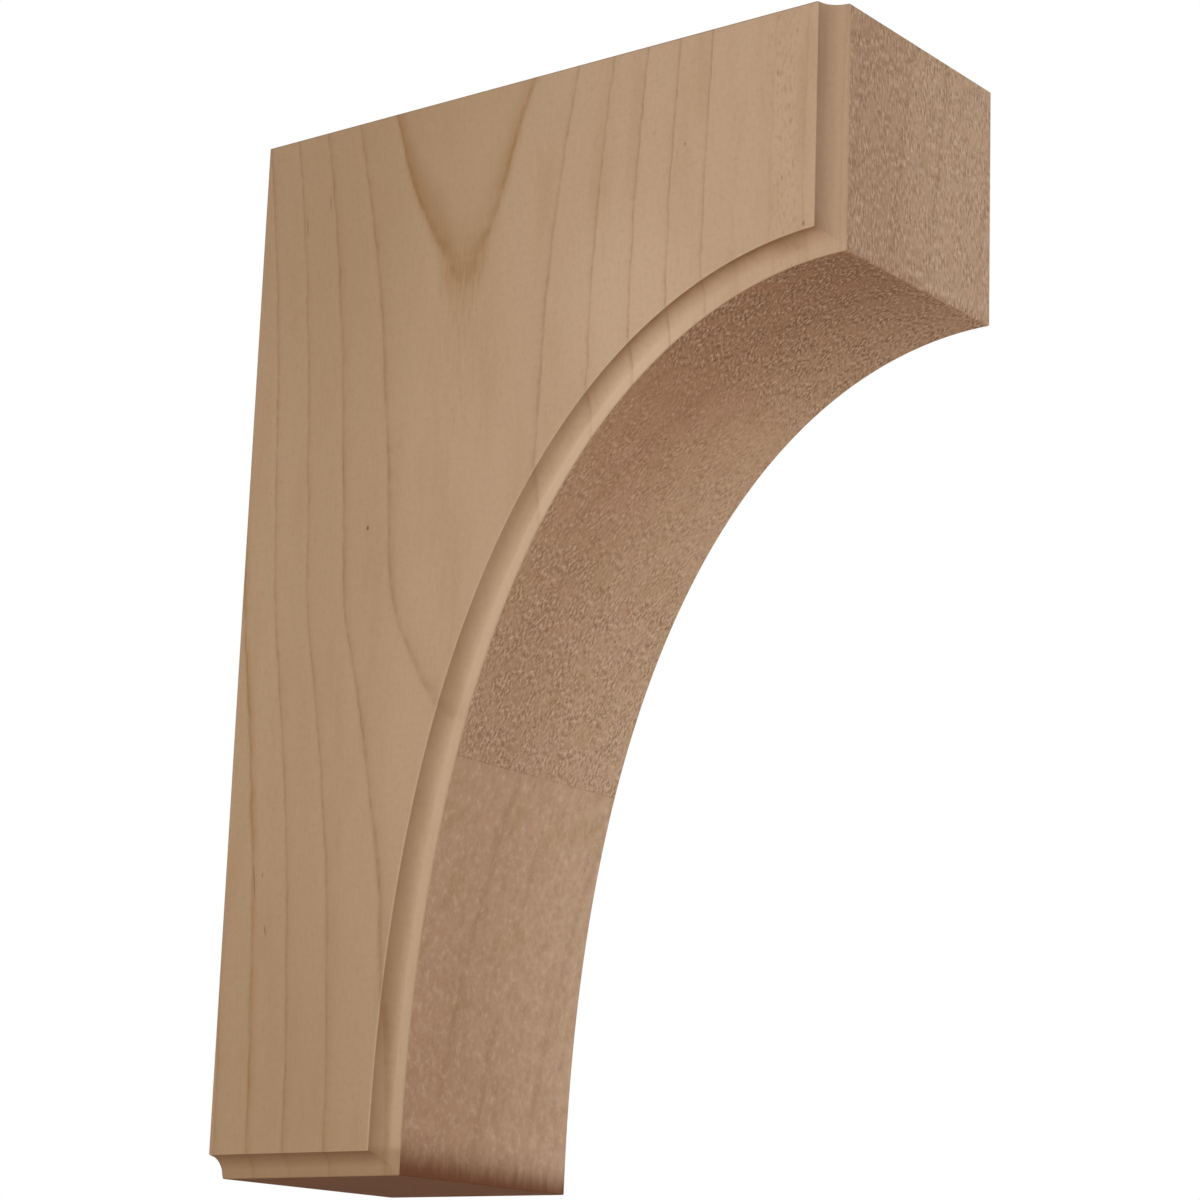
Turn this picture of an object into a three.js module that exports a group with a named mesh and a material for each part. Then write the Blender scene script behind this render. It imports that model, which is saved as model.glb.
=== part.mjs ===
// A wooden corbel bracket: one solid block of hardwood that is fixed to a wall and carries a
// shelf, a mantel or a counter on its flat top. The front face drops plumb from the top, and a
// long concave curve sweeps from its lower edge back to a narrow foot at the wall. A quarter-round
// cove is routed along the front, the curve and the foot of both sides, so that each side shows
// as a raised flat panel with a sunk moulded margin. The top and back edges are left square.
//
// Millimetres, +Z up. The back face lies on y = 0 and faces +Y, to the wall. The bracket reaches
// out towards -Y, its width runs along X, and the origin is the centre of the back face.

import * as THREE from "three";

// The block.
const WIDTH = 63.5; // 2 1/2 in, across X
const REACH = 152.4; // 6 in, from the wall to the front face
const HEIGHT = 228.6; // 9 in, from the foot to the top
const FRONT_HEIGHT = 51.9; // the plumb front face, from the top down to the curve
const FOOT_DEPTH = 48.6; // the underside of the foot, from the wall out to the curve

// The concave curve. It leaves the foot plumb and reaches the front level, and each end keeps its
// direction for a share of the way: of the rise at the foot, of the run at the front.
const FOOT_PULL = 0.694;
const FRONT_PULL = 0.519;
const CURVE_STEPS = 64;

// The cove on the side edges: a quarter circle about the block's own square edge, in four flats.
const COVE_RADIUS = 4.6;
const COVE_STEPS = 4;

const TOP_Z = HEIGHT / 2;
const FOOT_Z = -HEIGHT / 2;

// The bracket is drawn in its side plane, with y across and z up.
const FOOT_NOSE = new THREE.Vector2(-FOOT_DEPTH, FOOT_Z);
const FRONT_LIP = new THREE.Vector2(-REACH, TOP_Z - FRONT_HEIGHT);
const CURVE = new THREE.CubicBezierCurve(
  FOOT_NOSE,
  FOOT_NOSE.clone().setY(FOOT_Z + FOOT_PULL * (FRONT_LIP.y - FOOT_Z)),
  FRONT_LIP.clone().setX(-REACH + FRONT_PULL * (REACH - FOOT_DEPTH)),
  FRONT_LIP,
);

// The point of the curve at t, moved square to the curve into the wood.
function insetCurvePoint(t, inset) {
  const along = CURVE.getTangent(t);
  const intoWood = new THREE.Vector2(along.y, -along.x);
  return CURVE.getPoint(t).addScaledVector(intoWood, inset);
}

// The t at which a function of t that rises from below zero passes zero.
function crossing(rising) {
  let low = 0;
  let high = 1;
  for (let halving = 0; halving < 50; halving++) {
    const middle = (low + high) / 2;
    if (rising(middle) < 0) low = middle;
    else high = middle;
  }
  return (low + high) / 2;
}

// The side outline with its front, curve and foot lines all moved in by the same inset, and its
// top and back lines left alone. It runs anticlockwise from the top of the front face.
function outline(inset) {
  const frontY = -REACH + inset;
  const footZ = FOOT_Z + inset;
  const atFoot = crossing((t) => insetCurvePoint(t, inset).y - footZ);
  const atFront = crossing((t) => frontY - insetCurvePoint(t, inset).x);
  const points = [new THREE.Vector2(frontY, TOP_Z)];
  for (let step = CURVE_STEPS; step >= 0; step--) {
    const t = atFoot + ((atFront - atFoot) * step) / CURVE_STEPS;
    points.push(insetCurvePoint(t, inset));
  }
  points.push(new THREE.Vector2(0, footZ), new THREE.Vector2(0, TOP_Z));
  return points;
}

// The outlines across the width, from the left panel to the right one. Through a cove they grow
// from the panel's edge out to the full block as they sink in from the side.
function sections() {
  const rightHalf = [];
  for (let step = COVE_STEPS; step >= 0; step--) {
    const turn = ((Math.PI / 2) * step) / COVE_STEPS;
    const x = WIDTH / 2 - COVE_RADIUS * Math.sin(turn);
    rightHalf.push({ x, points: outline(COVE_RADIUS * Math.cos(turn)) });
  }
  const leftHalf = rightHalf.map(({ x, points }) => ({ x: -x, points })).reverse();
  return [...leftHalf, ...rightHalf];
}

// Joins the sections with strips of triangles and closes both ends with the flat side panels.
function loft(rings) {
  const around = rings[0].points.length;
  const positions = rings.flatMap(({ x, points }) => points.flatMap((p) => [x, p.x, p.y]));
  const indices = [];
  for (let ring = 0; ring + 1 < rings.length; ring++) {
    for (let corner = 0; corner < around; corner++) {
      const next = (corner + 1) % around;
      const a = ring * around + corner;
      const b = ring * around + next;
      const c = b + around;
      const d = a + around;
      indices.push(a, b, c, a, c, d);
    }
  }
  const lastRing = (rings.length - 1) * around;
  for (const [a, b, c] of THREE.ShapeUtils.triangulateShape(rings[0].points, [])) {
    indices.push(a, c, b);
    indices.push(lastRing + a, lastRing + b, lastRing + c);
  }
  const geometry = new THREE.BufferGeometry();
  geometry.setAttribute("position", new THREE.Float32BufferAttribute(positions, 3));
  geometry.setIndex(indices);
  geometry.computeVertexNormals();
  return geometry;
}

const bareWood = new THREE.MeshStandardMaterial({
  name: "bare_wood",
  color: 0xb09070,
  roughness: 0.72,
  metalness: 0,
  flatShading: true,
});

const corbel = new THREE.Mesh(loft(sections()), bareWood);
corbel.name = "corbel";

const bracket = new THREE.Group();
bracket.name = "corbel_bracket";
bracket.add(corbel);

export default bracket;
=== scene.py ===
# %% [markdown]
# # A wooden corbel bracket
#
# A corbel is a solid block of wood that is fixed to a wall and carries a shelf or a mantel on its
# flat top. This one has a long concave curve below its front, and a cove, a quarter-round groove,
# is routed along the outer edges of both sides. The CAD model already holds that shape. This
# lesson loads it as a fixed frame, makes a finer skin around it and gives that skin its wood.

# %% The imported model
import math

import bmesh
import bpy
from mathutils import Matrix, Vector


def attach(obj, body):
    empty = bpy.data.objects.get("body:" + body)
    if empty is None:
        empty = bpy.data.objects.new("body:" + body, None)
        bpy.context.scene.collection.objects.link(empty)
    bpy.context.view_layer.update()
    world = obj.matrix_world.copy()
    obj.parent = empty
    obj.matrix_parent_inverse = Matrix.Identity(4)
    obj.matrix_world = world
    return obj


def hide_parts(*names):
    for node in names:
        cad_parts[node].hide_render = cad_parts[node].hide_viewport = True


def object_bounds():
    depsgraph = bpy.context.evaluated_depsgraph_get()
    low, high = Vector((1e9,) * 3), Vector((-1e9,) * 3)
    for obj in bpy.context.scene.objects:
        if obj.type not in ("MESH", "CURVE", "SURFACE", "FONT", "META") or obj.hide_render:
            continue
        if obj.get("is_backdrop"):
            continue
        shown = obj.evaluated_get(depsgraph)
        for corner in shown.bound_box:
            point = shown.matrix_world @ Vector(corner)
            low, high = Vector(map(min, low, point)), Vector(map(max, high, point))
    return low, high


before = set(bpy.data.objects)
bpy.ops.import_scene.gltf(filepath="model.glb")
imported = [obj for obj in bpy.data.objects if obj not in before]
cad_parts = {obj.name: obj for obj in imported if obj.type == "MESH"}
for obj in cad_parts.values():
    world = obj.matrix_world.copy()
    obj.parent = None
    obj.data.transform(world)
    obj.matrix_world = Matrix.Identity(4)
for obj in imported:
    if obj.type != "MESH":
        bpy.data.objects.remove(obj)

MM_PER_M = 1000

cad_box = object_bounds()
WIDTH, REACH, HEIGHT = (round((far - near) * MM_PER_M, 2) for near, far in zip(*cad_box))
print("the block, mm:", WIDTH, "wide,", REACH, "deep and", HEIGHT, "high")

# %% [markdown]
# ## The camera
#
# A long lens keeps the sides of the block nearly parallel. The camera stands low on the left,
# three quarters of a metre away, and looks up at the underside. It comes first, because the
# lights are placed to suit what it sees. Its place is in metres and its turns are in degrees.

# %% The camera
LENS = 100.02
SENSOR_WIDTH = 36
CAMERA_PLACE = (-0.5407, -0.49307, -0.16088)
CAMERA_TURNS = (103.8394, -1.9432, -52.6804)

scene = bpy.context.scene
camera_data = bpy.data.cameras.new("camera")
camera_data.lens = LENS
camera_data.sensor_width = SENSOR_WIDTH
camera = bpy.data.objects.new("camera", camera_data)
camera.location = CAMERA_PLACE
camera.rotation_euler = [math.radians(turn) for turn in CAMERA_TURNS]
scene.collection.objects.link(camera)
bpy.context.scene.camera = camera
print("camera", round(camera.location.length, 3), "m from the back of the bracket")

# %% [markdown]
# ## The lamps
#
# The bracket is shown as a shop shows it, in soft light. One broad lamp on the left lights the
# side panel, and another on the right, further off, lights the front. The underside gets mostly
# what a pale floor throws back, so it falls away to a warm brown. One lamp above and one behind
# light the faces that the main view doesn't show. Square area lamps are used, because a small
# lamp would draw hard shadows.

# %% The lamps
LAMP_TARGET = Vector((0, -0.07, 0))


def softbox(name, place, size, power):
    """A square lamp that faces the middle of the bracket, in metres and watts."""
    lamp_data = bpy.data.lights.new(name, "AREA")
    lamp_data.size, lamp_data.energy = size, power
    lamp = bpy.data.objects.new(name, lamp_data)
    lamp.location = place
    lamp.rotation_euler = (LAMP_TARGET - lamp.location).to_track_quat("-Z", "Y").to_euler()
    lamp.visible_camera = False
    scene.collection.objects.link(lamp)


softbox("key_lamp", (-0.62, -0.2, 0.04), 0.36, 2.5)
softbox("front_lamp", (0.62, -0.85, 0.2), 0.5, 6.0)
softbox("top_lamp", (0.1, -0.1, 1.1), 0.8, 4.0)
softbox("far_lamp", (0.7, 0.85, 0.35), 0.8, 4.0)
print("lamps:", [thing.name for thing in scene.objects if thing.type == "LIGHT"])

# %% [markdown]
# ## White surroundings and a pale floor
#
# A white wall behind the bracket would need bright light of its own, and that light would wash
# the shadows out. So the world is white only to the camera and dim to everything else. The floor
# stands in for the photographer's table and throws the warm light on the underside.

# %% The surroundings
AMBIENT = 0.22

scene.view_settings.view_transform = "Standard"
world = bpy.data.worlds.new("white_studio")
world.use_nodes = True
scene.world = world
air = world.node_tree
air.nodes.clear()
seen = air.nodes.new("ShaderNodeBackground")
seen.inputs["Color"].default_value = (1, 1, 1, 1)
ambient = air.nodes.new("ShaderNodeBackground")
ambient.inputs["Color"].default_value = (1, 0.98, 0.96, 1)
ambient.inputs["Strength"].default_value = AMBIENT
ray = air.nodes.new("ShaderNodeLightPath")
choose = air.nodes.new("ShaderNodeMixShader")
sky = air.nodes.new("ShaderNodeOutputWorld")
air.links.new(ray.outputs["Is Camera Ray"], choose.inputs[0])
air.links.new(ambient.outputs[0], choose.inputs[1])
air.links.new(seen.outputs[0], choose.inputs[2])
air.links.new(choose.outputs[0], sky.inputs["Surface"])
print("ambient light:", AMBIENT)

# %% The floor
FLOOR_HEIGHT = -0.26
FLOOR_SIZE = 8.0


def screen_colour(red, green, blue):
    """A colour given as screen levels from 0 to 255, as the linear values that Blender wants."""
    levels = [level / 255 for level in (red, green, blue)]
    return tuple(v / 12.92 if v < 0.04045 else ((v + 0.055) / 1.055) ** 2.4 for v in levels) + (1,)


floor_paint = bpy.data.materials.new("pale_floor")
floor_paint.use_nodes = True
paint = floor_paint.node_tree.nodes["Principled BSDF"]
paint.inputs["Base Color"].default_value = screen_colour(218, 208, 196)
paint.inputs["Roughness"].default_value = 0.9
floor_shape = bmesh.new()
bmesh.ops.create_grid(floor_shape, x_segments=1, y_segments=1, size=FLOOR_SIZE / 2)
floor_mesh = bpy.data.meshes.new("pale_floor")
floor_shape.to_mesh(floor_mesh)
floor_shape.free()
floor_mesh.materials.append(floor_paint)
floor = bpy.data.objects.new("pale_floor", floor_mesh)
floor.location.z = FLOOR_HEIGHT
scene.collection.objects.link(floor)
floor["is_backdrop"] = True
print("floor:", FLOOR_SIZE, "m wide, at", FLOOR_HEIGHT, "m")

# %% [markdown]
# ## The lines of the side
#
# The block is drawn in its side plane, y across and z up, in millimetres. Four straight lines and
# one long curve make the outline. The curve leaves the foot plumb and reaches the front level, so
# it is a curve with four control points: each end keeps its direction for a share of the way. The
# cove needs the same lines again and again, each time a little further in, so the curve can be
# moved square to itself, and a search finds where it meets the other moved lines.

# %% The lines of the side
FRONT_HEIGHT = 51.9
FOOT_DEPTH = 48.6
FOOT_PULL = 0.694
FRONT_PULL = 0.519
# How often the search for a crossing halves its span.
HALVINGS = 40

top, foot = HEIGHT / 2, -HEIGHT / 2
nose, lip = Vector((-FOOT_DEPTH, foot)), Vector((-REACH, top - FRONT_HEIGHT))
curve = (
    nose,
    nose + Vector((0, FOOT_PULL * (lip.y - nose.y))),
    lip + Vector((FRONT_PULL * (nose.x - lip.x), 0)),
    lip,
)


def sweep(t, inset):
    """The point of the curve at t, from the foot to the lip, moved into the wood."""
    a, b, c, d = curve
    s = 1 - t
    point = a * s**3 + b * (3 * s * s * t) + c * (3 * s * t * t) + d * t**3
    along = ((b - a) * (s * s) + (c - b) * (2 * s * t) + (d - c) * (t * t)).normalized()
    return point + Vector((along.y, -along.x)) * inset


def crossing(rising):
    """Where a function of t that rises from below zero passes zero."""
    low, high = 0.0, 1.0
    for _ in range(HALVINGS):
        middle = (low + high) / 2
        low, high = (middle, high) if rising(middle) < 0 else (low, middle)
    return low


print("the curve rises", round(lip.y - nose.y, 1), "mm and reaches out", round(nose.x - lip.x, 1))

# %% [markdown]
# ## The outline and its eased corners
#
# A hand with sandpaper takes the sharpness off every corner of such a block. Each corner of the
# outline is therefore five points on a small round, a little larger at the lip, where the front
# meets the curve. A bevel made afterwards would do the same, but it would also cut into the cove.

# %% The outline
EASE = 0.3
LIP_EASE = 0.5
CORNER_STEPS = 4
CURVE_STEPS = 120
# How many faces lie along each straight line of the outline.
FRONT_STEPS, FOOT_STEPS, BACK_STEPS, TOP_STEPS = 20, 16, 60, 50


def straight(start, end, count):
    """Points evenly spaced along a line, with both its ends."""
    return [start.lerp(end, step / count) for step in range(count + 1)]


def eased_corner(before, corner, after, radius):
    """The points that turn a sharp corner into a small round one."""
    start = corner + (before - corner).normalized() * radius
    end = corner + (after - corner).normalized() * radius
    shares = [step / CORNER_STEPS for step in range(CORNER_STEPS + 1)]
    return [start * (1 - s) ** 2 + corner * (2 * s * (1 - s)) + end * s**2 for s in shares]


def outline(inset, square):
    """The outline with its moulded lines moved in by inset, and its top and back by square.

    It runs anticlockwise from the upper arris of the front. Each point comes with the name of
    the face that starts there."""
    front_y, foot_z, back_y, top_z = -REACH + inset, foot + inset, -square, top - square
    at_foot = crossing(lambda t: sweep(t, inset).y - foot_z)
    at_lip = crossing(lambda t: front_y - sweep(t, inset).x)
    step = (at_foot - at_lip) / CURVE_STEPS
    bend = [sweep(at_lip + step * number, inset) for number in range(CURVE_STEPS + 1)]
    runs = [
        ("front", straight(Vector((front_y, top_z)), bend[0], FRONT_STEPS)),
        ("underside", bend),
        ("foot", straight(bend[-1], Vector((back_y, foot_z)), FOOT_STEPS)),
        ("back", straight(Vector((back_y, foot_z)), Vector((back_y, top_z)), BACK_STEPS)),
        ("top", straight(Vector((back_y, top_z)), Vector((front_y, top_z)), TOP_STEPS)),
    ]
    points = []
    for number, (name, run) in enumerate(runs):
        points += [(name, point) for point in run[1:-1]]
        next_name, next_run = runs[(number + 1) % len(runs)]
        radius = LIP_EASE if name == "front" and inset == 0 else EASE
        turn = eased_corner(run[-2], run[-1], next_run[1], radius)
        points += [(name, p) for p in turn[:2]] + [(next_name, p) for p in turn[2:]]
    # The last corner's last three points already belong to the front, so they go first.
    return points[-3:] + points[:-3]


full = outline(0, 0)
print("points in one outline:", len(full))

# %% [markdown]
# ## The sections across the width
#
# Across its width the block is a row of such outlines. From the flat panel they grow outwards as
# they sink in, round the quarter circle of the cove, until they reach the full block. Each outer
# edge is again a small round of a few faces. That round is what catches the light, and an edge
# without it would look like paper.

# %% The sections
COVE = 4.6
ROUND_STEPS = 3
# Where the faces of the cove meet, in degrees from the edge of the panel.
COVE_TURNS = (22.5, 33.75, 45, 56.25, 67.5)


def half_sections():
    """(x, inset, square) of each outline from a side panel in to the flat run of the block."""
    quarter = [math.pi / 2 * step / ROUND_STEPS for step in range(ROUND_STEPS + 1)]
    arris = [(EASE * (1 - math.cos(turn)), EASE * (1 - math.sin(turn))) for turn in quarter]
    cove = [(COVE * math.sin(turn), COVE * math.cos(turn)) for turn in map(math.radians, COVE_TURNS)]
    panel_edge = [(WIDTH / 2 - inwards, COVE + drop, drop) for inwards, drop in arris]
    hollow = [(WIDTH / 2 - inwards, inset, 0) for inwards, inset in cove]
    outer_edge = [(WIDTH / 2 - COVE - inwards, drop, 0) for inwards, drop in arris]
    return panel_edge + hollow + outer_edge


right_half = half_sections()
sections = [(-x, inset, square) for x, inset, square in right_half]
sections += right_half[::-1]
print("outlines across the width:", len(sections))

# %% [markdown]
# ## The skin of the block
#
# The outlines are joined by strips of four-sided faces, and a single flat face closes each side.
# Every face gets the finish of the saw cut that made it: the sides with their coves, the front
# and underside, the end grain above and below, and the back. Each point also keeps how far along
# the outline it lies. The wood of the underside needs that to lay its marks along the curve.

# %% The points of the skin
run_lengths = [0.0]
for (_, start), (_, end) in zip(full, full[1:]):
    run_lengths.append(run_lengths[-1] + (end - start).length)

block = bmesh.new()
run_length = block.verts.layers.float.new("run_length")
rings = []
for x, inset, square in sections:
    ring = []
    for (_, point), length in zip(outline(inset, square), run_lengths):
        corner = block.verts.new((x / MM_PER_M, point.x / MM_PER_M, point.y / MM_PER_M))
        corner[run_length] = length
        ring.append(corner)
    rings.append(ring)
print("points in the skin:", len(block.verts))

# %% The faces of the skin
FINISHES = (
    "side_wood_left", "side_wood_right", "front_wood", "foot_end_grain", "back_wood",
    "top_end_grain",
)
FINISH_OF_FACE = {
    "front": "front_wood", "underside": "front_wood", "foot": "foot_end_grain",
    "back": "back_wood", "top": "top_end_grain",
}
MOULDED = ("front", "underside", "foot")

middle_strip = len(right_half) - 1
for strip, (ring, next_ring) in enumerate(zip(rings, rings[1:])):
    side_wood = "side_wood_left" if strip < middle_strip else "side_wood_right"
    for here, (face_name, _) in enumerate(full):
        there = (here + 1) % len(full)
        face = block.faces.new((ring[here], ring[there], next_ring[there], next_ring[here]))
        in_cove = strip != middle_strip and face_name in MOULDED
        face.material_index = FINISHES.index(side_wood if in_cove else FINISH_OF_FACE[face_name])
block.faces.new(rings[0][::-1]).material_index = FINISHES.index("side_wood_left")
block.faces.new(rings[-1]).material_index = FINISHES.index("side_wood_right")
bmesh.ops.recalc_face_normals(block, faces=block.faces)
for face in block.faces:
    face.smooth = True
print("faces in the skin:", len(block.faces))

# %% The skin as an object
block_mesh = bpy.data.meshes.new("corbel_wood")
block.to_mesh(block_mesh)
block.free()
for _ in FINISHES:
    block_mesh.materials.append(None)
corbel = bpy.data.objects.new("corbel_wood", block_mesh)
scene.collection.objects.link(corbel)
evened = corbel.modifiers.new("flat_faces_shade_flat", "WEIGHTED_NORMAL")
evened.mode = "FACE_AREA"
print("finishes of the block:", len(block_mesh.materials))

# %% [markdown]
# ## Writing a finish as a sum
#
# A wood finish is mostly arithmetic: a distance from the heart of the tree, a ring number, a
# mask. Wiring that by hand takes dozens of nodes. Instead, a small class stands for one output of
# a node. Adding or multiplying it in Python adds the Math node that does the same in the shader.


# %% The wire
class Wire:
    """One output of a node, which can be written into a sum."""

    def __init__(self, finish, socket):
        self.finish, self.socket = finish, socket

    def work_out(self, operation, *inputs):
        return self.finish.node("ShaderNodeMath", {"operation": operation}, dict(enumerate(inputs)))

    def __add__(self, other):
        return self.work_out("ADD", self, other)

    def __radd__(self, other):
        return self.work_out("ADD", other, self)

    def __sub__(self, other):
        return self.work_out("SUBTRACT", self, other)

    def __rsub__(self, other):
        return self.work_out("SUBTRACT", other, self)

    def __mul__(self, other):
        return self.work_out("MULTIPLY", self, other)

    def __rmul__(self, other):
        return self.work_out("MULTIPLY", other, self)

    def __truediv__(self, other):
        return self.work_out("DIVIDE", self, other)

    def __rtruediv__(self, other):
        return self.work_out("DIVIDE", other, self)

    def __abs__(self):
        return self.work_out("ABSOLUTE", self)

    def __round__(self):
        return self.work_out("ROUND", self)

    def at_least(self, least):
        return self.work_out("MAXIMUM", self, least)


# %% [markdown]
# ## A finish and its helpers
#
# All other nodes come from one method, which takes the node's kind, its settings and its inputs.
# A few helpers built on it say what a finish needs: a curve through given points, a mask that
# fades in, a cloud of tone, a blend of two colours and a shallow relief. Places on the block are
# the object's own coordinates in millimetres, so a pore has the size it has in real wood.


# %% The finish
class Finish:
    """A material with one Principled shader, and the nodes that feed it."""

    def __init__(self, name, **surface):
        self.material = bpy.data.materials.new(name)
        self.material.use_nodes = True
        self.tree = self.material.node_tree
        self.tree.nodes.clear()
        self.shader = self.tree.nodes.new("ShaderNodeBsdfPrincipled")
        output = self.tree.nodes.new("ShaderNodeOutputMaterial")
        self.tree.links.new(self.shader.outputs[0], output.inputs["Surface"])
        for socket, value in surface.items():
            self.shader.inputs[socket.replace("_", " ")].default_value = value
        place = self.node("ShaderNodeTexCoord", output="Object")
        in_mm = {"Vector": place, "Scale": MM_PER_M}
        place = self.node("ShaderNodeVectorMath", {"operation": "SCALE"}, in_mm)
        self.x, self.y, self.z = (
            self.node("ShaderNodeSeparateXYZ", {}, {"Vector": place}, axis) for axis in "XYZ"
        )

    def put(self, socket, value):
        """Sets a socket to a value, or links a wire to it."""
        if isinstance(value, Wire):
            self.tree.links.new(value.socket, socket)
        else:
            socket.default_value = value

    def node(self, kind, settings=None, inputs=None, output=0):
        """Adds a node: first its settings, then the values or wires of its inputs."""
        made = self.tree.nodes.new(kind)
        for name, value in (settings or {}).items():
            if name == "curve":
                points = made.mapping.curves[0].points
                while len(points) < len(value):
                    points.new(0.5, 0.5)
                for point, (x, y) in zip(points, sorted(value)):
                    point.location = (x, y)
                made.mapping.update()
            else:
                setattr(made, name, value)
        for key, value in (inputs or {}).items():
            self.put(made.inputs[key], value)
        return Wire(self, made.outputs[output])

    def curve(self, value, low, high, points, scale=1.0):
        """A value read off a smooth curve through points, given in the value's own units.

        A curve node ends at 1, so larger results are divided by scale and multiplied back."""
        placed = [((x - low) / (high - low), y / scale) for x, y in points]
        share = (value - low) / (high - low)
        return self.node("ShaderNodeFloatCurve", {"curve": placed}, {"Value": share}) * scale

    def fade(self, value, start, end):
        """A mask that goes smoothly from 0 at start to 1 at end."""
        settings = {"interpolation_type": "SMOOTHSTEP"}
        inputs = {"Value": value, "From Min": start, "From Max": end}
        return self.node("ShaderNodeMapRange", settings, inputs)

    def mottle(self, across, along, third=0.0, detail=2.0, roughness=0.5):
        """A cloud of tone between 0 and 1, with coordinates counted in cloud sizes."""
        place = self.node("ShaderNodeCombineXYZ", {}, {0: across, 1: along, 2: third})
        inputs = {"Vector": place, "Scale": 1.0, "Detail": detail, "Roughness": roughness}
        return self.node("ShaderNodeTexNoise", {}, inputs)

    def distance(self, across, along):
        """How far a point lies from the origin of two coordinates."""
        place = self.node("ShaderNodeCombineXYZ", {}, {0: across, 1: along})
        return self.node("ShaderNodeVectorMath", {"operation": "LENGTH"}, {0: place}, "Value")

    def blend(self, first, second, share):
        """The first colour where share is 0, and the second where it is 1."""
        settings = {"data_type": "RGBA", "clamp_factor": True}
        return self.node("ShaderNodeMix", settings, {0: share, 6: first, 7: second}, 2)

    def relief(self, height, depth):
        """Bump from a height between 0 and 1, whose full depth is given in millimetres."""
        inputs = {"Height": height, "Distance": depth / MM_PER_M, "Strength": 1.0}
        return self.node("ShaderNodeBump", {}, inputs)

    def finish_with(self, colour, roughness, normal):
        """Feeds the shader and gives the material to the faces that wait for it."""
        self.put(self.shader.inputs["Base Color"], colour)
        self.put(self.shader.inputs["Roughness"], roughness)
        self.put(self.shader.inputs["Normal"], normal)
        block_mesh.materials[FINISHES.index(self.material.name)] = self.material
        print(self.material.name, "has", len(self.tree.nodes), "nodes")


# %% [markdown]
# ## How the tree grew
#
# The side panel is sawn almost flat to the rings, just outside the heart of the board. The saw
# left the heart at a depth that slowly grows towards the foot. A ring shows where the distance
# to the heart, across and in depth together, is that of the first ring plus a whole number of
# ring widths. Near the top the first ring runs out of the surface and closes in a V. Further out
# the rings are nearly straight lines. One formula gives all of them, on every face of the block.

# %% The heart of the tree
FIRST_RING = 34.0
RING_WIDTH = 7.35
HEART_Y = -61.4
HEART_LEAN = 0.034
# How far the rings stray from a true course, in slow bends and in small ones.
WANDER = 0.6
TREMBLE = 0.9
# How far the V is pushed towards the wall at the top.
TOP_SHIFT = 2.1
# How deep the heart lies below the panel, at a few heights.
DEPTH_OF_HEART = [
    (foot, 45.1), (-91, 45.3), (-74, 44.9), (-54, 44.4), (-36, 42.9), (-20, 41.2), (-9, 39.6),
    (6, 37.2), (28, 36.4), (54, 35.3), (66, 34.75), (73.1, 34.0), (78, 33.77), (84, 33.1),
    (92, 32.0), (101, 30.6), (top, 27.9),
]


def ring_at(finish, across, height, sunk):
    """(ring, aside): the ring number at a point, and its distance to the side of the heart.

    across is y and height is z, as the board lies, and sunk is the depth below its face."""
    wander = finish.mottle(across / 14, height / 26, 3.7) - 0.5
    tremble = finish.mottle(across / 5, height / 4.5, 7.3, 3.0) - 0.5
    aside = across - (height * HEART_LEAN + HEART_Y + wander * WANDER + tremble * TREMBLE)
    aside = aside - finish.fade(height, 76, 114) * finish.fade(abs(aside), 22, 12) * TOP_SHIFT
    fibres = finish.mottle(across * 1.3, height * 0.07, 8.1, 3.0) - 0.5
    near_heart = finish.fade(abs(aside), 11, 2)
    depth = finish.curve(height, foot, top, DEPTH_OF_HEART, scale=50)
    depth = depth + sunk + fibres * (near_heart * 0.15 + 0.25)
    return (finish.distance(aside, depth) - FIRST_RING) / RING_WIDTH, aside


print("depth of the heart, mm:", DEPTH_OF_HEART[-1][1], "at the top,", DEPTH_OF_HEART[0][1], "below")

# %% [markdown]
# ## The lines between the rings
#
# A year's growth ends in late wood, a thin dark line with a sharp outer edge, and the next year
# starts pale. No two years are alike, so each ring has a strength of its own, and two of them
# carry a broad golden stain. Along its length a line comes and goes in patches and short dashes.
# A ring number below zero stands for the same ring on the front side of the heart.

# %% The ring lines
OUTERMOST = 8
LINE_STRENGTH = [
    (-OUTERMOST, 0.2), (-7, 0.15), (-6, 0.0), (-5, 0.5), (-4, 0.52), (-3, 0.6), (-2, 0.45), (-1, 0.5),
    (0, 0.75), (1, 0.55), (2, 0.55), (3, 0.5), (4, 0.55), (5, 0.6), (6, 0.45),
    (OUTERMOST, 0.4),
]
GOLD_OF_RING = [
    (-OUTERMOST, 0.0), (-1, 0.05), (0, 1.0), (1, 0.3), (2, 0.35), (3, 0.2), (4, 0.2), (5, 1.0),
    (6, 0.3), (OUTERMOST, 0.2),
]
# What lies across a ring's edge, which is at 0.5, from half a ring before to half a ring after.
DARK_EDGE = [
    (0, 0), (0.2, 0.02), (0.36, 0.1), (0.44, 0.3), (0.484, 0.95), (0.5, 1), (0.512, 0.8),
    (0.53, 0.1), (0.6, 0), (1, 0),
]
PALE_EDGE = [(0, 0), (0.5, 0), (0.53, 0.3), (0.57, 1), (0.68, 0.4), (0.85, 0), (1, 0)]
GOLD_EDGE = [(0, 0), (0.24, 0), (0.36, 0.35), (0.46, 0.9), (0.5, 1), (0.55, 0.5), (0.66, 0), (1, 0)]


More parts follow.
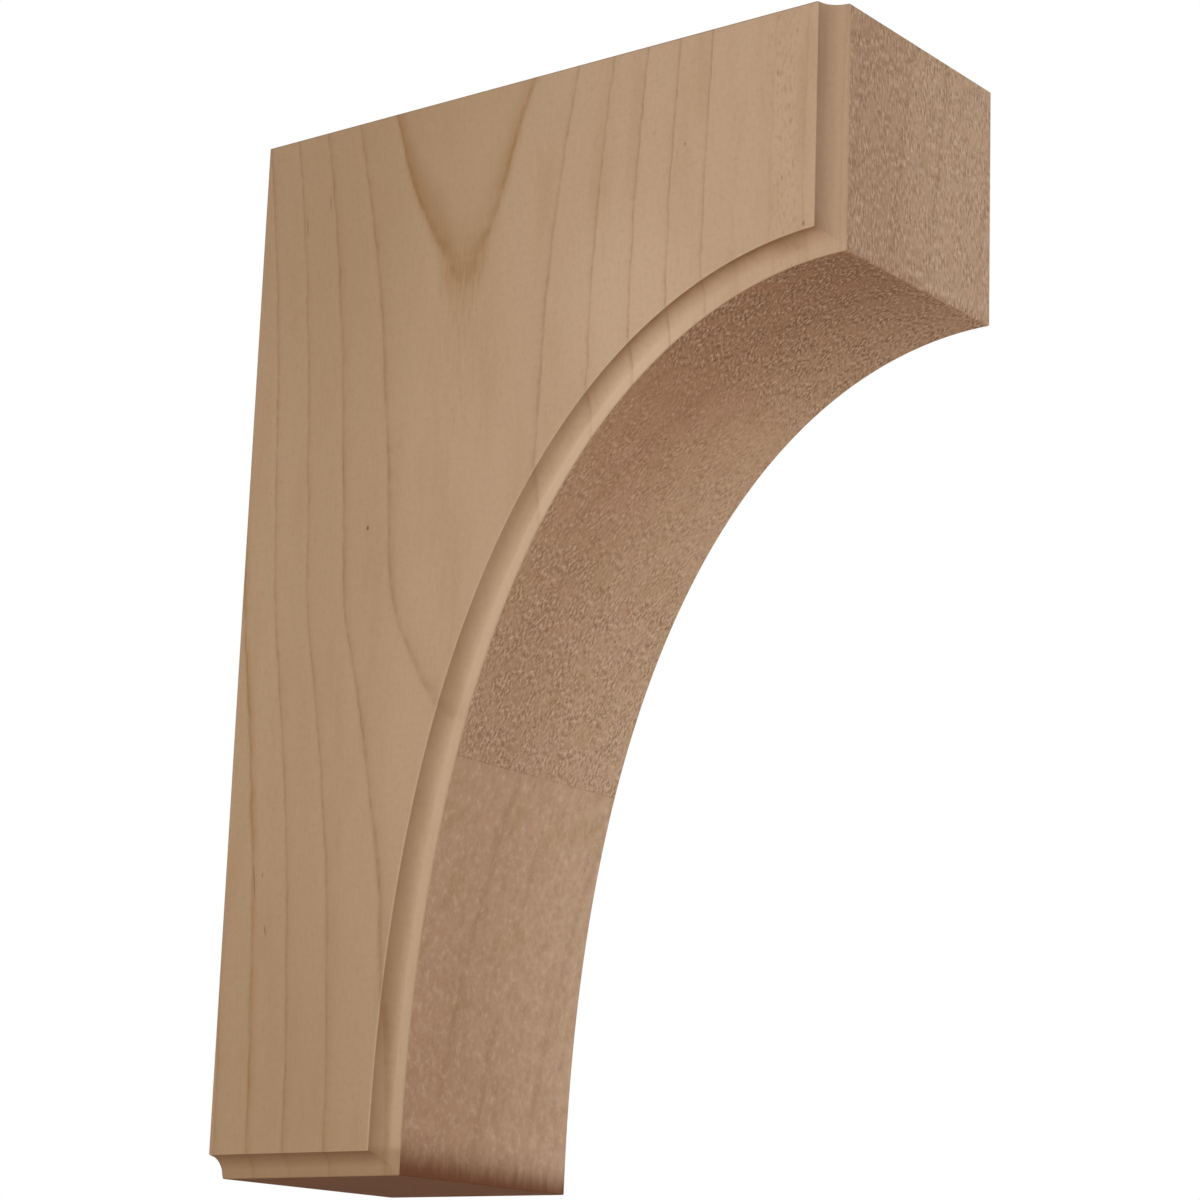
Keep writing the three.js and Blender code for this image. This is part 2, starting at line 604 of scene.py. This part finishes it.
def ring_lines(finish, ring, aside, height):
    """(dark, pale, gold): the late wood that ends a ring, the pale start of the next one, and
    the broad golden stain that a few of the rings have."""
    number = round(ring)
    past = ring - number + 0.5
    signed = number * aside.work_out("SIGN", aside)
    dark, pale, gold = (
        finish.node("ShaderNodeFloatCurve", {"curve": edge}, {"Value": past})
        for edge in (DARK_EDGE, PALE_EDGE, GOLD_EDGE)
    )
    # Each ring reads a part of the clouds of its own, so that no two come and go together.
    patches = finish.mottle(signed * 5.3, height / 13, 1.9, 3.0) - 0.5
    dashes = finish.mottle(signed * 7.7, height / 2.6, 4.2, 2.0) - 0.5
    strength = finish.curve(signed, -OUTERMOST, OUTERMOST, LINE_STRENGTH)
    strength = strength * (patches * 1.6 + 1).at_least(0.2) * (dashes * 1.8 + 1)
    stained = finish.curve(signed, -OUTERMOST, OUTERMOST, GOLD_OF_RING) * (patches * 2.4 + 1)
    return dark * strength, pale * strength, gold * stained


print("a ring line is", round((DARK_EDGE[7][0] - DARK_EDGE[3][0]) * RING_WIDTH, 2), "mm wide")

# %% [markdown]
# ## The side panels
#
# Alder, the wood that this one looks like, is an even pinkish tan. Its only strong marks are the
# ring lines. Where the cove cuts below the panel, each line leans towards the wall, since the cut
# meets the rings deeper in. A finish is laid on as a painter lays coats: each of the next cells
# takes the colour so far and blends one more thing into it. A board knows where each point lies
# on it: how far across the panel, how high, and how deep it is sunk below the panel.

# %% A board
PALE_TAN = screen_colour(188, 158, 130)
MID_TAN = screen_colour(178, 148, 118)
WARM_TAN = screen_colour(170, 137, 102)
DEEP_TAN = screen_colour(136, 104, 60)
# Pale for one paler patch of the panel, and for the painted highlights on the cove's rim and the
# panel's edge.
PALE_PATCH_AND_HIGHLIGHT = screen_colour(212, 184, 156)
LONG_GRAIN_GLOSS = 0.3
LEAN_IN_COVE = 0.41
# How each board lies: the side that it faces, its shift along y, and which way up it is.
LEFT_BOARD = (-1, 0.0, 1)
RIGHT_BOARD = (1, 24.0, -1)


class Board(Finish):
    """The finish of one side. Its rings can lie shifted along y and turned end for end."""

    def __init__(self, name, x_sign, y_shift, z_sign):
        super().__init__(name, Specular_IOR_Level=LONG_GRAIN_GLOSS)
        self.sunk = (self.x * -x_sign + WIDTH / 2).at_least(0)
        self.across = self.y + y_shift - self.sunk * LEAN_IN_COVE
        self.height = self.z * z_sign
        self.ring, self.aside = ring_at(self, self.across, self.height, 0.0)
        self.fibres = self.mottle(self.across * 1.6, self.height * 0.16, 4.0, 3.0, 0.6)
        pores = self.mottle(self.across * 2.6, self.height * 0.42, 6.0, 2.0)
        self.pores = self.fade(pores, 0.6, 0.78)

    def spot(self, y, z, width, height, lean):
        """A soft spot on the side, of a width and a height in millimetres."""
        up = self.z - z
        aside = (self.y - y - up * lean) / (width / 2)
        return self.fade(self.distance(aside, up / (height / 2)), 1.1, 0.3)


print("a ring line leans", round(LEAN_IN_COVE * COVE, 1), "mm towards the wall across the cove")

# %% [markdown]
# ## The ground of the side
#
# Under all the lines lies a slow drift of tone. The wood is pale and pink in front and yellower
# and deeper towards the back and the foot, with soft clouds along the grain. One broad patch
# above the middle of the curve is paler, and the strip inside the V a little warmer.


# %% The ground of the side
def ground(wood):
    drift = wood.mottle(wood.across / 30, wood.height / 90, 5.0) - 0.5
    to_warm = wood.fade(wood.y + wood.z * 0.2 + drift * 50, -118, -8)
    colour = wood.blend(PALE_TAN, MID_TAN, to_warm)
    inside_first_ring = wood.fade(wood.ring + drift * 0.3, 0.08, -0.08)
    colour = wood.blend(colour, WARM_TAN, inside_first_ring * 0.22)
    clouds = wood.mottle(wood.across / 7, wood.height / 40, 2.0, 3.0)
    colour = wood.blend(colour, WARM_TAN, wood.fade(clouds, 0.45, 0.8) * 0.42)
    back_top = wood.fade(wood.y + drift * 20, -72, -40) * wood.fade(wood.z, 35, 85)
    colour = wood.blend(colour, DEEP_TAN, back_top * 0.12)
    beside_back = wood.fade(wood.y, -52, -36) * wood.fade(wood.y, -8, -20)
    colour = wood.blend(colour, DEEP_TAN, beside_back * 0.08)
    colour = wood.blend(colour, DEEP_TAN, wood.fade(wood.z, -20, -110) * 0.2)
    pale_patch = wood.spot(-104, 56, 44, 60, 0.2)
    return wood.blend(colour, PALE_PATCH_AND_HIGHLIGHT, pale_patch * 0.22)


print("ground of the side: pale, mid, warm and deep tan")

# %% [markdown]
# ## Fibres, pores and ring lines
#
# Between the ring lines lie fine fibres and short pores along the grain, and a grit of tiny dark
# specks. They are clouds of tone stretched along the grain: long ones for fibres, shorter ones
# for pores. Over them come the lines. At the point of the V the first ring runs out of the
# surface. There the line dissolves into short golden fibres, and its rear leg has a soft reddish
# brown edge on the inside.

# %% Fibres and ring lines of the side
LATE_WOOD = screen_colour(122, 86, 52)
GOLDEN = screen_colour(146, 107, 49)
RED_BROWN = screen_colour(152, 112, 78)
PORE = screen_colour(132, 98, 68)


def with_fibres(wood, colour):
    grit = wood.mottle(wood.across * 0.9, wood.height * 0.9, 9.0, 2.0, 0.6)
    colour = wood.blend(colour, PORE, wood.fade(wood.fibres, 0.5, 0.85) * 0.14)
    colour = wood.blend(colour, PALE_TAN, wood.fade(wood.fibres, 0.45, 0.2) * 0.2)
    colour = wood.blend(colour, PORE, wood.pores * 0.2)
    return wood.blend(colour, PORE, wood.fade(grit, 0.42, 0.75) * 0.09)


def with_runout(wood, colour):
    near_point = wood.fade(abs(wood.aside), 9, 2) * wood.fade(wood.fibres, 0.2, 0.75)
    runout = wood.fade(wood.ring, 0.34, 0.02) * wood.fade(wood.ring, -0.06, 0.02) * near_point
    colour = wood.blend(colour, GOLDEN, runout * 0.36)
    rear_leg = wood.fade(wood.aside, 1.5, 6) * wood.fade(wood.height, 74, 84)
    inner_edge = wood.fade(wood.ring, -0.34, -0.04) * wood.fade(wood.ring, 0.05, -0.02)
    return wood.blend(colour, RED_BROWN, inner_edge * rear_leg * 0.4)


def with_ring_lines(wood, colour, dark, gold):
    colour = wood.blend(colour, GOLDEN, gold * wood.fade(wood.fibres, 0.1, 0.6) * 0.3)
    colour = with_runout(wood, colour)
    line_colour = wood.blend(LATE_WOOD, GOLDEN, gold * 0.6)
    return wood.blend(colour, line_colour, dark * 0.5)


print("coats ready: fibres, runout and ring lines")

# %% [markdown]
# ## Small marks and the flecked band
#
# One small knot, a few pin marks and hair cracks make the panel a real piece of wood and not a
# pattern. They are listed one by one, so that each can be moved. Near the front a band of the
# panel is flecked with short dark dashes, where the saw met fibres that lean.

# %% Small marks
KNOT = screen_colour(84, 56, 36)
# Brown for painted shade in the cove, also used for the end grain of the foot cove and one smudge.
BROWN_AND_SHADE = screen_colour(138, 102, 68)
BAND_Y = -145.0
BAND_LEAN = 0.05
# Each mark: y, z, width, height, lean, share.
LEFT_MARKS = [
    (-35.4, 21.1, 0.9, 1.3, 0.0, 0.75), (-12.4, -63.3, 0.6, 3.0, 0.2, 0.4),
    (-10.8, -51.5, 0.6, 1.6, -0.2, 0.35), (-8.5, -52.8, 0.45, 9.5, 0.12, 0.55),
    (-13.0, 93.1, 0.5, 5.0, 0.1, 0.35), (-19.6, 97.3, 0.5, 5.5, 0.1, 0.3),
    (-116.0, 90.7, 0.7, 0.8, 0.0, 0.5), (-145.4, 67.9, 0.8, 1.6, 0.0, 0.5),
    (-138.6, 101.0, 0.6, 1.8, 0.1, 0.35), (-140.0, 78.5, 0.6, 1.6, 0.1, 0.35),
    (-141.8, 90.0, 0.5, 2.0, -0.1, 0.3), (-143.0, 109.0, 0.5, 1.4, 0.0, 0.3),
]
RIGHT_MARKS = [
    (-96.0, 88.0, 0.9, 1.2, 0.0, 0.6), (-31.0, 40.0, 0.5, 4.0, 0.1, 0.35),
    (-22.0, -47.0, 0.6, 2.4, 0.1, 0.35),
]


def with_marks(wood, colour, marks):
    from_band = abs(wood.y - wood.sunk * LEAN_IN_COVE - (wood.z * BAND_LEAN + BAND_Y))
    flecked = wood.fade(from_band, 5.5, 1.0) * wood.fade(wood.z, 40, 60)
    flecks = wood.mottle(wood.y * 1.7, wood.z * 0.5, 13.0, 3.0, 0.6)
    colour = wood.blend(colour, PORE, wood.fade(flecks, 0.48, 0.72) * flecked * 0.34)
    in_hollow = wood.fade(wood.sunk, 0.1, 0.8) * wood.fade(wood.sunk, 4.4, 2.6)
    smudge = flecked * in_hollow * wood.fade(wood.z, 70, 62)
    colour = wood.blend(colour, BROWN_AND_SHADE, smudge * 0.5)
    for y, z, width, height, lean, share in marks:
        colour = wood.blend(colour, KNOT, wood.spot(y, z, width, height, lean) * share)
    return colour


print("marks:", len(LEFT_MARKS), "on the left,", len(RIGHT_MARKS), "on the right")

# %% [markdown]
# ## The cove
#
# The hollow of the cove close to the panel is painted brown, as painted shade where the groove
# keeps the light out, and the outer edge of the cove is painted pale, as a painted highlight. How
# strong both are changes along the edge. A faint painted highlight also runs along the eased edge
# of the panel, and along the front the outer part of the cove is a little darker. The cove across
# the foot is cut in end grain and is darker all over, partly as painted shade where it looks down.

# %% The cove
# Painted shade in the hollow of the cove, by depth below the panel and by height.
COVE_SHADE_BY_DEPTH = [
    (0, 0), (0.15, 0), (0.4, 0.8), (0.9, 0.66), (1.8, 0.38), (3.2, 0.14), (4, 0), (COVE, 0),
]
COVE_SHADE_BY_HEIGHT = [
    (foot, 1.0), (-95, 0.95), (-40, 0.8), (0, 0.65), (30, 0.55), (47, 0.95), (62, 1.15),
    (75, 0.75), (top, 0.75),
]
# Painted highlight on the outer edge of the cove, by depth and by height.
RIM_HIGHLIGHT_BY_DEPTH = [(0, 0), (3.3, 0), (4.0, 0.3), (4.3, 0.9), (COVE, 0.7)]
RIM_HIGHLIGHT_BY_HEIGHT = [
    (foot, 0.3), (-90, 0.5), (-30, 0.55), (10, 0.75), (35, 0.9), (52, 0.4), (62, 0.0),
    (top, 0.0),
]


def with_cove(wood, colour):
    patches = wood.mottle(wood.y / 6, wood.z / 12, 3.0, 2.0)
    # Painted shade: the hollow is painted browner close to the panel.
    cove_shade = wood.curve(wood.sunk, 0, COVE, COVE_SHADE_BY_DEPTH) * (patches + 0.5)
    cove_shade = cove_shade * wood.curve(wood.z, foot, top, COVE_SHADE_BY_HEIGHT, scale=1.2)
    colour = wood.blend(colour, BROWN_AND_SHADE, cove_shade)
    # Painted highlight: the outer edge of the cove is painted pale.
    rim_highlight = wood.curve(wood.sunk, 0, COVE, RIM_HIGHLIGHT_BY_DEPTH)
    rim_highlight = rim_highlight * wood.curve(wood.z, foot, top, RIM_HIGHLIGHT_BY_HEIGHT)
    colour = wood.blend(colour, PALE_PATCH_AND_HIGHLIGHT, rim_highlight * 0.55)
    # Painted highlight along the eased edge of the panel.
    panel_edge = wood.fade(wood.sunk, 0.0, 0.05) * wood.fade(wood.sunk, 0.36, 0.16)
    colour = wood.blend(colour, PALE_PATCH_AND_HIGHLIGHT, panel_edge * 0.16)
    front_cove = wood.fade(wood.z, 60, 68) * wood.fade(wood.sunk, 2.6, 4.0)
    colour = wood.blend(colour, BROWN_AND_SHADE, front_cove * 0.2)
    # The foot cove is darker as end grain, and partly as painted shade where it looks down.
    foot_cove = wood.fade(wood.z, -108, -110) * wood.fade(wood.sunk, 0.1, 0.4)
    return wood.blend(colour, BROWN_AND_SHADE, foot_cove * 0.5)


print("the cove is", COVE, "mm deep and browned down to", COVE_SHADE_BY_DEPTH[-2][0], "mm")

# %% [markdown]
# ## Both sides
#
# Now the coats go on in order. The right side is another board with the same rings, turned end
# for end and shifted, so its V falls outside the block and only plain lines show.


# %% Both sides
def side_finish(name, board, marks):
    wood = Board(name, *board)
    dark, pale, gold = ring_lines(wood, wood.ring, wood.aside, wood.height)
    point = wood.fade(abs(wood.aside), 5, 1) * wood.fade(wood.height, 82, 75)
    dark, gold = dark * (1 - point * 0.3), gold * (1 - point * 0.35)
    colour = wood.blend(ground(wood), PALE_TAN, pale * 0.15)
    colour = with_fibres(wood, colour)
    colour = with_ring_lines(wood, colour, dark, gold)
    colour = with_marks(wood, colour, marks)
    colour = with_cove(wood, colour)
    roughness = wood.fibres * 0.2 + dark * 0.06 + 0.5
    height_map = wood.fibres * 0.5 + (1 - wood.pores) * 0.3 + (1 - dark) * 0.2
    wood.finish_with(colour, roughness, wood.relief(height_map, 0.02))


side_finish("side_wood_left", LEFT_BOARD, LEFT_MARKS)
side_finish("side_wood_right", RIGHT_BOARD, RIGHT_MARKS)

# %% [markdown]
# ## The front and the underside
#
# These faces are cut across the width of the glued-up boards. The grain runs slightly askew, as
# faint lines far apart. Two boards show in the tone: the left one is darker, the right one paler,
# with olive and pink patches in both. Everything here is laid out by run, the length along the
# outline from the top of the front, so that marks follow the curve without being stretched.

# %% The ground of the front
FRONT_DARK = screen_colour(166, 133, 105)
FRONT_PALE = screen_colour(177, 147, 119)
OLIVE = screen_colour(160, 131, 94)
PINK = screen_colour(178, 141, 118)
RUDDY = screen_colour(184, 134, 104)
GRAIN_SLOPE = 0.16
SEAM_HEIGHT = -29.2
SEAM_SOFTNESS = 0.25
LIP_RUN = FRONT_HEIGHT
# The tables by run end here, a little beyond the foot.
END_RUN = 285

front = Finish("front_wood", Specular_IOR_Level=LONG_GRAIN_GLOSS)
run = front.node("ShaderNodeAttribute", {"attribute_name": "run_length"}, {}, "Fac")
askew = front.x + (front.y - front.z) * GRAIN_SLOPE
drift = front.mottle(askew / 16, run / 70, 1.0, 3.0) - 0.5
fine_belt = front.fade(front.z, SEAM_HEIGHT + SEAM_SOFTNESS, SEAM_HEIGHT - SEAM_SOFTNESS)
below_lip = front.fade(run, LIP_RUN - LIP_EASE, LIP_RUN + LIP_EASE)

colour = front.blend(FRONT_DARK, FRONT_PALE, front.fade(front.x + drift * 22, -13, 9))
colour = front.blend(colour, FRONT_PALE, fine_belt * 0.35)
hue = front.mottle(askew / 8, run / 14, 21.0, 2.0, 0.6)
ruddy = below_lip * front.fade(run, 175, 60)
colour = front.blend(colour, OLIVE, front.fade(hue, 0.48, 0.3) * (0.5 - ruddy * 0.35))
colour = front.blend(colour, PINK, front.fade(hue, 0.5, 0.7) * 0.5)
colour = front.blend(colour, RUDDY, ruddy * 0.3)
print("the lip is at run", LIP_RUN, "and the seam at height", SEAM_HEIGHT)

# %% [markdown]
# ## Grain lines across the boards
#
# A few faint lines run down the front and the curve. Each is given by where it starts and ends
# across the width and by the stretch of run that it covers, and it fades out at both ends.

# %% Grain lines of the front
GRAIN_LINE = screen_colour(140, 104, 78)
# How far a line's tone reaches to each side, and how far it takes to fade out at each end.
LINE_REACH = 1.6
LINE_FADE = 4
# Each line: where it starts and ends across the width, its share, and the run it covers.
GRAIN_LINES = [
    (-62, -62, 0.2, -20, 50), (-46, -46, 0.22, -20, 50), (-33, -32.3, 0.3, -20, 50),
    (-14, -14, 0.2, 5, 50), (-34, -36, 0.3, 56, 89), (-31, -33, 0.28, 99, 143),
    (-24.5, -30, 0.26, 143, 179), (8.5, 6.3, 0.26, 143, 171), (-3.5, -3.5, 0.25, 79, 95),
    (-9.9, -8, 0.3, 193, 263), (3.4, 4.7, 0.26, 206, 221), (23, 23, 0.34, 208, 266),
    (5, 5.6, 0.28, 245, 275), (-17.5, -17.5, 0.2, 99, 113),
]

wavy = askew + drift * 2
for start, end, share, run_start, run_end in GRAIN_LINES:
    progress = (run - run_start) / (run_end - run_start)
    from_line = abs(wavy - (progress * (end - start) + start))
    after_start = front.fade(run, run_start - LINE_FADE, run_start + LINE_FADE)
    before_end = front.fade(run, run_end + LINE_FADE, run_end - LINE_FADE)
    present = after_start * before_end
    line = front.fade(from_line, LINE_REACH, 0.1) * present * share
    colour = front.blend(colour, GRAIN_LINE, line)
print("grain lines:", len(GRAIN_LINES))

# %% [markdown]
# ## Shade on the underside
#
# Less light reaches the left half of the curve close to the lip, and the wood there is painted
# darker as painted shade, while the right half there is painted lighter as painted light. The
# painted shade grows again towards the foot, where the wood is also deeper in tone. Both are soft,
# so a curve of run and a few broad masks give them.

# %% Shade
SHADED = screen_colour(138, 93, 60)
# Pale of the torn fibres and specks, also used as painted light on the right half below the lip.
PALE_STIPPLE_AND_LIGHT = screen_colour(212, 186, 160)
SHADE_BY_RUN = [
    (0, 0.02), (50, 0.02), (53, 0.46), (72, 0.36), (100, 0.27), (130, 0.2), (150, 0.1),
    (190, 0.06), (230, 0.16), (262, 0.3), (END_RUN, 0.38),
]

# Painted shade on the left half of the curve, below the lip and again near the foot.
shaded_left = front.fade(front.x, 30, -24) * front.curve(run, 0, END_RUN, SHADE_BY_RUN)
colour = front.blend(colour, SHADED, shaded_left)
# Painted light on the right half of the curve just below the lip.
colour = front.blend(colour, PALE_STIPPLE_AND_LIGHT, front.fade(front.x, 4, 28) * below_lip * 0.14)
colour = front.blend(colour, SHADED, front.fade(front.z, -50, -106) * 0.07)
blotch = front.mottle(askew / 3, run / 5, 17.0, 2.0)
colour = front.blend(colour, SHADED, front.fade(blotch, 0.45, 0.75) * 0.22)
print("share of shade just below the lip:", SHADE_BY_RUN[2][1])

# %% [markdown]
# ## Torn fibres
#
# A coarse belt sanded the front and the upper part of the curve and left them stippled with short
# torn fibres. They lean one way near the lip and the other way further down, as the block was
# turned against the belt. Each is a cloud of short strokes, drawn out along its own lean. Below a
# straight seam a finer belt went over the wood, which is smoother there, with soft pale specks.

# %% Torn fibres
STIPPLE_DARK = screen_colour(122, 88, 62)
STIPPLE_BY_RUN = [
    (0, 0.5), (49, 0.5), (54, 0.68), (92, 0.66), (106, 0.41), (140, 0.4), (152, 0.5),
    (192, 0.52), (END_RUN, 0.5),
]


def strokes(lean, width, length, seed):
    """A cloud of short strokes, which lean by some degrees from the run of the surface."""
    turn = math.radians(lean)
    along = run * math.cos(turn) + front.x * math.sin(turn)
    across = front.x * math.cos(turn) - run * math.sin(turn)
    return front.mottle(across / width, along / length, seed, 2.0, 0.65)


on_front = strokes(4, 0.58, 1.6, 2.0)
near_lip = strokes(37, 0.5, 1.4, 3.0)
near_seam = strokes(-12, 0.62, 1.15, 4.0)
torn = near_lip + (near_seam - near_lip) * front.fade(run, 92, 120)
torn = on_front + (torn - on_front) * below_lip
missed_spots = front.fade(front.mottle(front.x / 4, run / 5, 15.0, 2.0), 0.32, 0.6) * 0.75 + 0.5
stipple = front.curve(run, 0, END_RUN, STIPPLE_BY_RUN) * (1 - fine_belt * 0.8) * missed_spots
colour = front.blend(colour, STIPPLE_DARK, front.fade(torn, 0.52, 0.36) * stipple)
colour = front.blend(colour, PALE_STIPPLE_AND_LIGHT, front.fade(torn, 0.5, 0.66) * stipple * 0.8)
print("strokes on the front, near the lip and near the seam")

# %% Soft specks below the seam
soft = front.mottle(front.x * 0.48, run * 0.3, 4.0, 4.0, 0.62)
specks = front.mottle(front.x * 0.7, run * 0.6, 19.0, 1.5)
colour = front.blend(colour, PALE_STIPPLE_AND_LIGHT, front.fade(soft, 0.5, 0.75) * fine_belt * 0.22)
colour = front.blend(colour, PALE_STIPPLE_AND_LIGHT, front.fade(specks, 0.54, 0.74) * fine_belt * 0.2)
colour = front.blend(colour, GRAIN_LINE, front.fade(specks, 0.44, 0.28) * fine_belt * 0.2)
colour = front.blend(colour, GRAIN_LINE, front.fade(soft, 0.5, 0.3) * 0.22)
print("specks below the seam at", SEAM_HEIGHT)

# %% [markdown]
# ## Dark brown at the foot
#
# At the very foot the underside turns dark brown, in streaks that run up the curve. The
# finish is then closed: the torn fibres also make the surface rougher and raise it a little.

# %% Dark brown at the foot
FOOT_BROWN = screen_colour(98, 50, 10)
FOOT_BROWN_START = -103.5
FOOT_BROWN_FULL = -114.4

streaks = front.mottle(front.x * 0.6, run * 0.1, 9.0, 4.0, 0.6) - 0.5
browned_foot = front.fade(front.z + streaks * 4 + front.x * 0.03, FOOT_BROWN_START, FOOT_BROWN_FULL)
colour = front.blend(colour, FOOT_BROWN, browned_foot * browned_foot)
torn_height = torn * stipple * 2.0 + soft * 0.3
front.finish_with(colour, 0.62 + torn * 0.2, front.relief(torn_height, 0.3))

# %% [markdown]
# ## End grain and back
#
# The top and the foot are cut across the fibres. They drink more oil and dust than the other
# faces, so they are darker, and the rings show there as arcs around the heart of each board. The
# foot is painted a darker brown than the top, as painted shade for a face that looks down. The
# back is hidden against the wall: plain long grain from the same rings. All three show the glue
# line between the two boards.

# %% The rings of both boards
GLUE_LINE = screen_colour(112, 80, 54)
END_GRAIN_GLOSS = 0.25


def two_board_rings(wood):
    """(dark, pale, glue): the ring lines of both boards, and the joint between them."""
    left = wood.fade(wood.x, 0.05, -0.05)
    found = []
    for x_sign, y_shift, z_sign in (LEFT_BOARD, RIGHT_BOARD):
        sunk = wood.x * -x_sign + WIDTH / 2
        height = wood.z * z_sign
        ring, aside = ring_at(wood, wood.y + y_shift, height, sunk)
        found.append(ring_lines(wood, ring, aside, height)[:2])
    (dark_left, pale_left), (dark_right, pale_right) = found
    dark = dark_left * left + dark_right * (1 - left)
    pale = pale_left * left + pale_right * (1 - left)
    glue = wood.fade(abs(wood.x), 0.22, 0.06)
    return dark, pale, glue


print("two boards, each", WIDTH / 2, "mm thick")


# %% The end grain
def end_finish(name, wood_colour, dark_colour, line_share):
    wood = Finish(name, Specular_IOR_Level=END_GRAIN_GLOSS)
    dark, _, glue = two_board_rings(wood)
    speck = wood.mottle(wood.x * 3.2, wood.y * 3.2, 0.0, 3.0, 0.6)
    cloud = wood.mottle(wood.x / 14, wood.y / 22, 0.0, 1.0)
    colour = wood.blend(wood_colour, dark_colour, wood.fade(cloud, 0.3, 0.8) * 0.22)
    colour = wood.blend(colour, dark_colour, wood.fade(speck, 0.5, 0.75) * 0.5)
    colour = wood.blend(colour, dark_colour, dark * line_share)
    colour = wood.blend(colour, GLUE_LINE, glue * 0.6)
    wood.finish_with(colour, speck * 0.15 + 0.7, wood.relief(speck, 0.06))


# The foot's darker brown is end grain, and painted shade for a face that looks down.
end_finish("foot_end_grain", screen_colour(118, 73, 43), screen_colour(90, 50, 27), 0.4)
end_finish("top_end_grain", screen_colour(164, 130, 98), screen_colour(122, 88, 60), 0.6)


# %% The back
def back_finish(name):
    wood = Finish(name, Specular_IOR_Level=LONG_GRAIN_GLOSS)
    dark, pale, glue = two_board_rings(wood)
    fibres = wood.mottle(wood.x * 1.6, wood.z * 0.16, 4.0, 3.0, 0.6)
    cloud = wood.mottle(wood.x / 8, wood.z / 60, 2.0, 3.0)
    colour = wood.blend(MID_TAN, WARM_TAN, wood.fade(cloud, 0.35, 0.75) * 0.7)
    colour = wood.blend(colour, PORE, wood.fade(fibres, 0.5, 0.85) * 0.2)
    colour = wood.blend(colour, PALE_TAN, pale * 0.3)
    colour = wood.blend(colour, LATE_WOOD, dark * 0.55)
    colour = wood.blend(colour, GLUE_LINE, glue * 0.5)
    height_map = fibres * 0.6 + (1 - dark) * 0.3
    wood.finish_with(colour, fibres * 0.2 + 0.52, wood.relief(height_map, 0.03))


back_finish("back_wood")

# %% [markdown]
# ## Fitting the piece to the frame
#
# The bracket has no joints, so its only body is the root. The new skin rides on it and stands for
# the CAD block, which stays in the frame unseen and does the colliding. Last, both boxes are
# written down, to show that the skin hasn't outgrown the block.

# %% The hand-over
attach(corbel, "root")
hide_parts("corbel")

skin_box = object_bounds()
{"cad": [list(v) for v in cad_box], "visual": [list(v) for v in skin_box]}
print("skin box, mm:", [[round(v * MM_PER_M, 2) for v in corner] for corner in skin_box])
